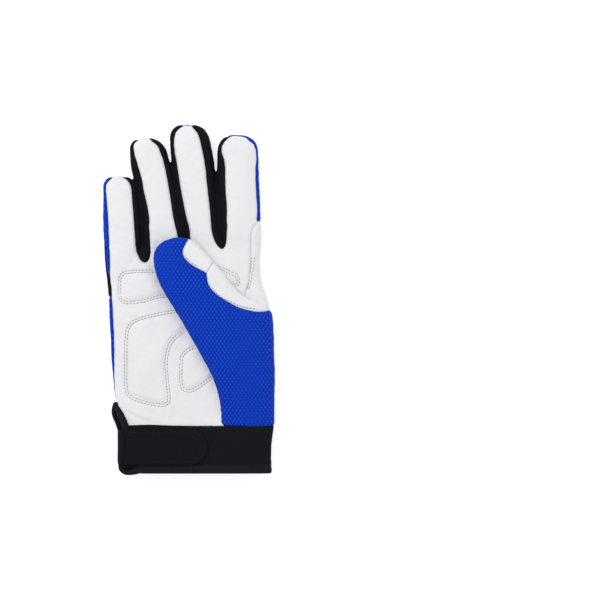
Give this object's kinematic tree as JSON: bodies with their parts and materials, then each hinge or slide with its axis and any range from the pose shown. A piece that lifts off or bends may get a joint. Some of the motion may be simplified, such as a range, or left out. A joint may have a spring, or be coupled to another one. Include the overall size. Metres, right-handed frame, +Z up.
{
  "type": "curling glove",
  "caption": "Right-hand curling glove with a padded leather palm, knit back, stretch finger sides, folded thumb and a strap-closed cuff.",
  "frame": {"origin": "on the floor under the middle of the glove's bounding box, as it lies on its back", "axes": "+Y from the cuff to the fingertips, +X towards the thumb side, +Z up out of the palm"},
  "size_m": [0.1204, 0.245, 0.0298],
  "materials": {
    "white_leather": "soft grained goatskin, matt",
    "blue_knit": "ribbed stretch knit with small raised dots, matt",
    "black_stretch": "fine four-way stretch knit, matt",
    "black_neoprene": "neoprene faced with smooth jersey, matt",
    "black_binding": "folded woven binding tape, matt",
    "black_strap": "brushed loop tape, matt"
  },
  "bodies": {
    "root": {"palm_leather": "white_leather", "index_patch": "white_leather", "thumb_front_tip": "white_leather", "thumb_front_base": "white_leather", "thumb_back": "blue_knit", "finger_backs": "blue_knit", "hand_back": "blue_knit", "knuckle_band": "black_neoprene", "fourchette_little_ring": "black_stretch", "fourchette_ring_middle": "black_stretch", "fourchette_middle_index": "black_stretch", "cuff_band": "black_neoprene", "cuff_binding": "black_binding", "closure_strap": "black_strap"}
  },
  "joints": []
}
